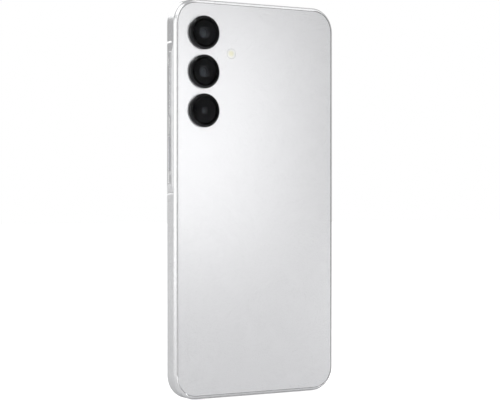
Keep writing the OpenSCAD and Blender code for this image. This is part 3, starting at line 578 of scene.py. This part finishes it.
def softBlocks(name, boxes, bevel, material, body, replaced=()):
    mesh = bmesh.new()
    for low, high in boxes:
        blockInto(mesh, [c * mm for c in low], [c * mm for c in high])
    bmesh.ops.recalc_face_normals(mesh, faces=mesh.faces)
    bevelSharp(mesh, bevel * mm, 2)
    return makePiece(name, mesh, material, body, replaced)


def perforatedInto(mesh, width, depth, pitch, hole, thick, place):
    # a sheet with rows of eight-sided holes, in (u, v) about its middle
    columns, rows = max(1, round(width / pitch)), max(1, round(depth / pitch))
    stepU, stepV = width / columns, depth / rows
    unit = [(1, 0), (1, 1), (0, 1), (-1, 1), (-1, 0), (-1, -1), (0, -1), (1, -1)]
    for column in range(columns):
        for row in range(rows):
            cu, cv = (column + 0.5) * stepU - width / 2, (row + 0.5) * stepV - depth / 2
            outer = [(cu + a * stepU / 2, cv + b * stepV / 2) for a, b in unit]
            inner = [(cu + hole * math.cos(k * math.pi / 4),
                cv + hole * math.sin(k * math.pi / 4)) for k in range(8)]
            levels = [[[mesh.verts.new(place(u, v, w)) for u, v in loop] for loop in (outer, inner)]
                for w in (0, thick)]
            for i in range(8):
                j = (i + 1) % 8
                for level in levels:
                    mesh.faces.new((level[0][i], level[0][j], level[1][j], level[1][i]))
                mesh.faces.new((levels[0][1][i], levels[0][1][j], levels[1][1][j], levels[1][1][i]))
                onRim = ((unit[i][0] + unit[j][0] == 2 and column == columns - 1)
                    or (unit[i][0] + unit[j][0] == -2 and column == 0)
                    or (unit[i][1] + unit[j][1] == 2 and row == rows - 1)
                    or (unit[i][1] + unit[j][1] == -2 and row == 0))
                if onRim:
                    mesh.faces.new((levels[0][0][i], levels[0][0][j], levels[1][0][j], levels[1][0][i]))
    bmesh.ops.remove_doubles(mesh, verts=mesh.verts, dist=1e-7)
    return mesh


# CAD nodes that keep their shape

softening = {
    # node: (bevel width in mm, bevel segments, and the least angle that counts as an edge if not 38)
    "side_frame": (0.05, 2, 16), "back_cover": (0.05, 2), "cover_glass": (0.22, 4), "volume_key": (0.14, 3),
    "power_key": (0.14, 3), "fingerprint_sensor": (0.05, 2), "sim_tray": (0.08, 2), "usb_shell": (0.05, 2),
    "upper_lens_window": (0.06, 2), "middle_lens_window": (0.06, 2), "lower_lens_window": (0.06, 2),
    "battery": (0.6, 4), "processor_shield": (0.2, 3), "radio_shield": (0.2, 3), "mid_plate": (0.05, 1),
    "main_board": (0.04, 1), "sub_board": (0.04, 1), "loudspeaker": (0.12, 2), "board_cover": (0.08, 2),
    "vibration_can": (0.12, 2), "vibration_weight": (0.1, 2), "earpiece_speaker": (0.12, 2),
    "board_connectors": (0.08, 2), "sim_socket": (0.04, 1), "usb_tongue": (0.06, 2), "usb_gasket": (0.1, 2),
    "sim_eject_slide": (0.06, 2), "sim_eject_lever": (0.05, 2), "sim_eject_rod": (0.1, 2), "screws": (0.05,
    1),
    "flash_led": (0.06, 2), "top_microphone": (0.08, 2), "bottom_microphone": (0.08, 2),
    "key_bracket": (0.04, 1),
    "sim_tray_seal": (0.06, 2), "battery_tape": (0.03, 1), "sim_lever_rivet": (0.06, 2),
}


def softenNode(node, width, segments, leastAngle=38):
    weld = node.modifiers.new("weld", "WELD")
    weld.merge_threshold = 1e-6
    bevel = node.modifiers.new("soft edges", "BEVEL")
    bevel.width = width * mm
    bevel.segments = segments
    bevel.limit_method = "ANGLE"
    bevel.angle_limit = math.radians(leastAngle)
    bevel.miter_outer = "MITER_ARC"
    even = node.modifiers.new("even shading", "WEIGHTED_NORMAL")
    even.mode = "FACE_AREA"
    even.weight = 90
    even.keep_sharp = True


for entry in frame["record"]["subparts"]:
    node = frame["nodes"][entry["node"]]
    node.data.materials.clear()
    node.data.materials.append(materials[entry["material_slot"]])
    if entry["node"] in softening:
        softenNode(node, *softening[entry["node"]])
print("CAD nodes finished:", len(softening), "with softened edges")


# cameras on the back

rearCameras = {
    # lens opening, ring of the front element, post radius and its top, half side of the housing
    "upper": dict(opening=2.45, element=2.3, post=3.6, top=4.65, housing=4.6, body="phone_body",
        replaced=("upper_camera",)),
    "middle": dict(opening=2.45, element=2.3, post=4.2, top=4.55, housing=0, body="focus_barrel",
        replaced=("middle_camera_barrel",)),
    "lower": dict(opening=1.5, element=1.4, post=2.6, top=4.65, housing=3.4, body="phone_body",
        replaced=("lower_camera",)),
}
ringShape = dict(crown=1.3, crownStart=5, crownEnd=50, windowGap=0.05, maskTop=4.94, maskBottom=4.91)


def buildRearCamera(label, values):
    low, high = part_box(label + "_camera_ring")
    centre = ((low.x + high.x) / 2, (low.z + high.z) / 2)
    outer, top = (high.x - low.x) / 2 / mm, high.y / mm
    glassLow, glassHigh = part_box(label + "_lens_window")
    glass, seat = (glassHigh.x - glassLow.x) / 2 / mm, glassLow.y / mm
    bore, bottom, face = glass - 0.8, low.y / mm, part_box("back_cover")[1].y / mm
    # the top rolls over in one broad curve from the window's edge to the outer wall
    curve, start, end = ringShape["crown"], *(math.radians(ringShape[k]) for k in ("crownStart", "crownEnd"))
    inner = outer - curve * (math.sin(end) - math.sin(start))
    crown = [(inner + curve * (math.sin(a) - math.sin(start)), top - curve * (math.cos(start) - math.cos(a)))
        for a in (start + (end - start) * k / 12 for k in range(13))]
    lip = [(bore, seat), (glass + ringShape["windowGap"], seat), (glass + ringShape["windowGap"], top - 0.06),
        (glass + ringShape["windowGap"] + 0.06, top)]
    foot = [(outer, face), (outer - 0.55, face), (outer - 0.55, bottom), (bore, bottom)]
    profile = lip + crown + foot
    turned(label + "RingShell", profile, centre, "ring_black", "phone_body",
        (label + "_camera_ring",), 192)
    # printed mask under the window, with the clear opening in its middle
    mask = fillet([(values["opening"], ringShape["maskBottom"]), (values["opening"], ringShape["maskTop"]),
        (bore - 0.03, ringShape["maskTop"]), (bore - 0.03, ringShape["maskBottom"])], 0.008, 2)
    turned(label + "LensMask", mask, centre, "blackInk", "phone_body", (), 96)
    # barrel: an outer wall, a stepped throat that narrows inwards, and a flat floor
    post, postTop, element = values["post"], values["top"], values["element"]
    floor = postTop - 2.6
    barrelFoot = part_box(values["replaced"][0])[0].y / mm if not values["housing"] else 2.6
    throat = [(post, barrelFoot), (post, postTop), (element + 0.5, postTop), (element + 0.38, postTop - 0.12),
        (element + 0.24, postTop - 0.12), (element + 0.12, postTop - 0.32), (element + 0.02, postTop - 0.32),
        (element + 0.02, postTop - 1.0), (element * 0.78, postTop - 1.1), (element * 0.72, postTop - 1.5),
        (element * 0.6, postTop - 1.6), (element * 0.5, floor), (0, floor)]
    radii = [0.1, 0.1, 0.04, 0.03, 0.03, 0.03, 0.02, 0.02, 0.03, 0.03, 0.03, 0, 0]
    outline = fillet(throat, radii, 3, closed=False) + [(0, barrelFoot)]
    turned(label + "LensBarrel", outline, centre, "lensBaffle", values["body"],
        values["replaced"], 96, closed=True)
    # front element: a dome in front, nearly flat behind
    bulge = [(element * math.sin(math.radians(a)), postTop - 0.62 + 0.32 * math.cos(math.radians(a)))
        for a in range(0, 91, 9)]
    back = [(element, postTop - 0.95), (element * 0.85, postTop - 0.88), (0, postTop - 0.84)]
    turned(label + "FrontElement", bulge + back, centre, "coatedLens", values["body"], (), 96,
        closed=False)
    # iris blades show as a thin ring round a small dark stop
    iris = fillet([(element * 0.30, postTop - 1.34), (element * 0.30, postTop - 1.40),
        (element * 0.70, postTop - 1.40), (element * 0.70, postTop - 1.30)], 0.02, 2)
    turned(label + "IrisRing", iris, centre, "lensBaffle", values["body"], (), 72)
    disc = [(0, floor + 0.02), (element * 0.42, floor + 0.02), (element * 0.44, floor + 0.04),
        (element * 0.42, floor + 0.08), (element * 0.3, floor + 0.12), (0, floor + 0.16)]
    turned(label + "RearElement", disc, centre, "sensorPlane", values["body"], (), 64,
        closed=False)
    if values["housing"]:
        half = values["housing"]
        mesh = bmesh.new()
        cx, cz = centre[0] / mm, centre[1] / mm
        plateInto(mesh, [[(u * mm, v * mm) for u, v in
            roundedOutline(cx - half, cx + half, cz - half, cz + half, 0.5, 6)]], -1.75 * mm, 2.75 * mm)
        blockInto(mesh, (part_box(label + "_camera")[0].x, -0.75 * mm, (cz - 1.6) * mm),
            ((cx - half + 0.2) * mm, -0.6 * mm, (cz + 1.6) * mm))
        bmesh.ops.recalc_face_normals(mesh, faces=mesh.faces)
        bevelSharp(mesh, 0.05 * mm, 2)
        makePiece(label + "CameraHousing", mesh, "black_polymer", "phone_body")


for label, values in rearCameras.items():
    buildRearCamera(label, values)
print("rear cameras built")


# flash

flashShape = dict(ridges=5, ridgeStart=1.75, ridgePitch=0.33, ridgeDepth=0.03, rise=0.16, fall=0.31,
    radius=2.05, flange=2.55, face=4.0, back=2.8, middle=3.98)
low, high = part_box("flash_window")
flashCentre = ((low.x + high.x) / 2, (low.z + high.z) / 2)
ridges = []
for index in range(flashShape["ridges"]):
    outerEdge = flashShape["ridgeStart"] - index * flashShape["ridgePitch"]
    ridges += [(outerEdge, flashShape["face"]),
        (outerEdge - flashShape["rise"], flashShape["face"] - flashShape["ridgeDepth"]),
        (outerEdge - flashShape["fall"], flashShape["face"] - 0.005)]
profile = [(0, flashShape["back"]), (2.5, flashShape["back"]), (flashShape["flange"], 2.85),
    (flashShape["flange"], 3.13), (flashShape["radius"], 3.15), (flashShape["radius"], 3.93), (2.02, 3.98),
    (1.96, flashShape["face"])]
profile += ridges + [(0, flashShape["middle"])]
flashFinish = dict(finishes["flash_lens"], pattern=warmCentre((flashCentre[0], 0, flashCentre[1])))
materials["flashRidged"] = makeSurface("flashRidged", **flashFinish)
turned("flashLens", profile, flashCentre, "flashRidged", "phone_body", ("flash_window",), 96,
    closed=False)


# screen side

screen = dict(sideBorder=2.5, topBorder=3.0, chinBorder=5.6, cornerRadius=8.0, inkBack=3.27, inkFront=3.29,
    notchRadius=3.3)
glassLow, glassHigh = (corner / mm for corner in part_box("cover_glass"))
cameraLow, cameraHigh = (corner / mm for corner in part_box("front_camera"))
frontZ = (cameraLow.z + cameraHigh.z) / 2


def activeOutline():
    # the lit area, with a round-bottomed tab hanging from its top edge round the front camera
    x = glassHigh.x - screen["sideBorder"]
    bottom, top = glassLow.z + screen["chinBorder"], glassHigh.z - screen["topBorder"]
    r, tab = screen["cornerRadius"], screen["notchRadius"]
    spots = []
    spots += [(x - r + r * math.cos(math.radians(6 * k)), top - r + r * math.sin(math.radians(6 * k)))
        for k in range(16)]
    flare = 1.2
    spots += [(tab + flare - flare * math.sin(math.radians(15 * k)),
        top - flare + flare * math.cos(math.radians(15 * k)))
        for k in range(7)]
    spots += [(tab * math.cos(math.radians(-9 * k)), frontZ + tab * math.sin(math.radians(-9 * k)))
        for k in range(21)]
    spots += [(-tab - flare + flare * math.cos(math.radians(15 * k)),
        top - flare + flare * math.sin(math.radians(15 * k)))
        for k in range(7)]
    for cx, cz, start in ((-x + r, top - r, 90), (-x + r, bottom + r, 180), (x - r, bottom + r, 270)):
        spots += [(cx + r * math.cos(math.radians(start + 6 * k)),
            cz + r * math.sin(math.radians(start + 6 * k)))
            for k in range(16)]
    return spots


def scaledOutline(outline):
    return [(u * mm, v * mm) for u, v in outline]


ink = bmesh.new()
plateInto(ink, [scaledOutline(roundedOutline(glassLow.x + 0.15, glassHigh.x - 0.15, glassLow.z + 0.15,
    glassHigh.z - 0.9, 8.35, 20)), scaledOutline(activeOutline())], -screen["inkFront"] * mm,
    -screen["inkBack"] * mm)
makePiece("screenBorderInk", ink, "blackInk", "phone_body")
panelLow, panelHigh = (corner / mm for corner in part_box("display_panel"))
panel = bmesh.new()
plateInto(panel, [scaledOutline(roundedOutline(panelLow.x, panelHigh.x, panelLow.z, panelHigh.z, 8.0, 16)),
    scaledOutline(circleOutline(0, frontZ, 2.1, 48))], -3.25 * mm, -2.8 * mm)
bmesh.ops.recalc_face_normals(panel, faces=panel.faces)
bevelSharp(panel, 0.03 * mm, 1)
makePiece("displayStack", panel, "display_layers", "phone_body", ("display_panel",))

# front camera: housing, a small barrel and its domed element
mesh = bmesh.new()
plateInto(mesh, [scaledOutline(roundedOutline(-2.65, 2.65, frontZ - 2.65, frontZ + 2.65, 0.4, 5))],
    -2.45 * mm,
    0.65 * mm)
plateInto(mesh, [scaledOutline(roundedOutline(-2.95, 2.95, frontZ - 2.95, frontZ + 2.95, 0.5, 5))],
    -1.75 * mm,
    -0.55 * mm)
bmesh.ops.recalc_face_normals(mesh, faces=mesh.faces)
bevelSharp(mesh, 0.06 * mm, 2)
makePiece("frontCameraHousing", mesh, "black_polymer", "phone_body", ("front_camera",))
barrel = fillet([(1.7, -2.4), (1.7, -3.2), (1.25, -3.2), (1.15, -3.08), (1.0, -3.08), (0.95, -2.7), (0.55,
    -2.6),
    (0.5, -2.4)], [0.02, 0.08, 0.04, 0.03, 0.03, 0.03, 0.03, 0], 3)
turned("frontCameraBarrel", barrel, (0, frontZ * mm), "lensBaffle", "phone_body", (), 64)
dome = [(0.93 * math.sin(math.radians(a)), -2.78 - 0.24 * math.cos(math.radians(a))) for a in range(0, 91,
    10)]
turned("frontCameraElement", dome + [(0.9, -2.72), (0, -2.70)], (0, frontZ * mm), "coatedLens", "phone_body",
    (), 64, closed=False)
print("screen side built")


# meshes over the sound openings

soundMeshes = {
    # node: pitch and hole radius
    "speaker_mesh": dict(name="speakerGrille", pitch=0.34, hole=0.11, across="z"),
    "earpiece_mesh": dict(name="earpieceGrille", pitch=0.275, hole=0.095, across="y"),
}
for node, values in soundMeshes.items():
    low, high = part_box(node)
    middle = (low + high) / 2
    mesh = bmesh.new()
    if values["across"] == "z":
        perforatedInto(mesh, high.x - low.x, high.y - low.y, values["pitch"] * mm, values["hole"] * mm,
            (high.z - low.z), lambda u, v, w: (middle.x + u, middle.y + v, low.z + w))
    else:
        perforatedInto(mesh, high.x - low.x, high.z - low.z, values["pitch"] * mm, values["hole"] * mm,
            0.2 * mm, lambda u, v, w: (middle.x + u, low.y + w, middle.z + v))
    makePiece(values["name"], mesh, "mesh_metal", "phone_body", (node,), 20)


# charging port

port = dict(pitch=0.5, width=0.28, proud=0.02, start=1.75, end=5.2, count=12)
low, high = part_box("usb_tongue")
contacts = []
for index in range(port["count"]):
    x = (index - (port["count"] - 1) / 2) * port["pitch"]
    reach = port["end"] - (0.5 if index in (3, 4, 7, 8) else 0)
    for side in (-1, 1):
        edge = sorted((side * 0.30, side * (0.35 + port["proud"])))
        contacts.append(((x - port["width"] / 2, edge[0], port["start"]), (x + port["width"] / 2, edge[1],
            reach)))
softBlocks("portContacts", contacts, 0.012, "goldPlate", "phone_body")
print("port and grilles built")


# small parts on the boards

boardParts = {
    # name: area (x0, z0, x1, z1), the board's outer face, pitch
    "radioParts": dict(area=(-29.0, 143.5, -9.5, 155.0), face=-0.75, pitch=1.7),
    "powerParts": dict(area=(-6.0, 140.0, 8.0, 147.5), face=-0.75, pitch=1.5),
    "portBoardParts": dict(area=(-16.8, 12.6, -6.5, 19.2), face=0.4, pitch=1.6),
}
for name, values in boardParts.items():
    x0, z0, x1, z1 = values["area"]
    small, chips = [], []
    z = z0
    while z < z1 - 0.9:
        x = x0
        while x < x1 - 1.2:
            kind = rng.random()
            size = (1.0, 0.5, 0.35) if kind < 0.55 else (0.6, 0.3, 0.25) if kind < 0.85 else (1.3, 1.1, 0.45)
            wide, tall, thick = size
            target = chips if size[0] > 1.2 else small
            target.append(((x, values["face"], z), (x + wide, values["face"] + thick, z + tall)))
            x += values["pitch"]
        z += values["pitch"] * 0.85
    softBlocks(name + "Ceramic", small, 0.05, "ceramicPart", "phone_body")
    softBlocks(name + "Chips", chips, 0.06, "chipResin", "phone_body")
print("board parts built")


# stage, lights, camera

studio = dict(floorHalf=4.0, floorDrop=0.0006, floorColour=(0.86, 0.86, 0.865), floorLift=0.95, air=0.39)
mesh = bmesh.new()
bmesh.ops.create_grid(mesh, x_segments=8, y_segments=8, size=studio["floorHalf"])
data = bpy.data.meshes.new("studioFloor")
mesh.to_mesh(data)
mesh.free()
floor = bpy.data.objects.new("studioFloor", data)
floor.location.z = -studio["floorDrop"]
bpy.context.scene.collection.objects.link(floor)
floorMaterial = bpy.data.materials.new("paleFloor")
floorMaterial.use_nodes = True
tree = floorMaterial.node_tree
shader = tree.nodes["Principled BSDF"]
grain = useGroup(tree, "grain", Scale=60.0)
tree.links.new(blendColour(tree, grain.outputs["Mask"], (0.84, 0.84, 0.845), studio["floorColour"]),
    shader.inputs["Base Color"])
shader.inputs["Roughness"].default_value = 0.9
shader.inputs["Specular IOR Level"].default_value = 0.1
ray = put(tree, "ShaderNodeLightPath")
shader.inputs["Emission Color"].default_value = (1, 1, 1, 1)
tree.links.new(maths(tree, "MULTIPLY", ray.outputs["Is Camera Ray"], studio["floorLift"]),
    shader.inputs["Emission Strength"])
data.materials.append(floorMaterial)

world = bpy.data.worlds.new("studioAir")
bpy.context.scene.world = world
world.use_nodes = True
tree = world.node_tree
background = tree.nodes["Background"]
background.inputs["Color"].default_value = (1, 1, 1, 1)
ray = put(tree, "ShaderNodeLightPath")
tree.links.new(spread(tree, ray.outputs["Is Camera Ray"], 0, 1, studio["air"], 1.0),
    background.inputs["Strength"])

lights = {
    # azimuth, elevation, distance, width, height, watts
    # azimuth 0 is in front of the screen, 90 is the key side
    "backWash": (203.3, 5.5, 0.547, 0.18, 0.2, 0.185),
    "backFar": (255, 55, 0.7, 0.45, 0.45, 0.55),
    "ringGlint": (180, 38, 0.5, 0.06, 0.06, 0.25),
    "lowRight": (239.9, -13.4, 0.226, 0.05, 0.04, 0.034),
    "keySide": (78, 0, 0.6, 0.4, 0.5, 0.38),
    "rimSide": (118, 3, 0.6, 0.4, 0.5, 0.8),
    "rimTop": (120, 55, 0.7, 0.45, 0.45, 1.1),
    "keySideFront": (24, -2, 0.4, 0.12, 0.12, 0.03),
    "frontHigh": (5, 30, 0.8, 0.6, 0.25, 0.6),
}


def aimLight(name, azimuth, elevation, distance, width, height, watts):
    lamp = bpy.data.lights.new(name, "AREA")
    lamp.shape = "RECTANGLE"
    lamp.size, lamp.size_y, lamp.energy = width, height, watts
    obj = bpy.data.objects.new(name, lamp)
    a, e = math.radians(azimuth), math.radians(elevation)
    target = Vector((0, 0, 0.0822))
    away = Vector((math.sin(a) * math.cos(e), -math.cos(a) * math.cos(e), math.sin(e)))
    obj.location = target + away * distance
    obj.rotation_euler = away.to_track_quat("Z", "Y").to_euler()
    obj.visible_camera = False
    bpy.context.scene.collection.objects.link(obj)


for name, values in lights.items():
    aimLight(name, *values)

viewing = dict(turn=31.17, distance=0.6383, lens=108.84, shiftX=-0.0035, shiftY=-0.0014)
cameraData = bpy.data.cameras.new("viewCamera")
cameraData.lens = viewing["lens"]
cameraData.sensor_width = 36
cameraData.shift_x, cameraData.shift_y = viewing["shiftX"], viewing["shiftY"]
cameraData.clip_start = 0.01
camera = bpy.data.objects.new("viewCamera", cameraData)
turn = math.radians(viewing["turn"])
camera.location = (viewing["distance"] * math.sin(turn), viewing["distance"] * math.cos(turn), 0.0822)
camera.rotation_euler = (math.radians(90), 0, math.pi - turn)
bpy.context.scene.collection.objects.link(camera)
bpy.context.scene.camera = camera
bpy.context.scene.view_settings.view_transform = "Standard"
print("stage, lights and camera set")
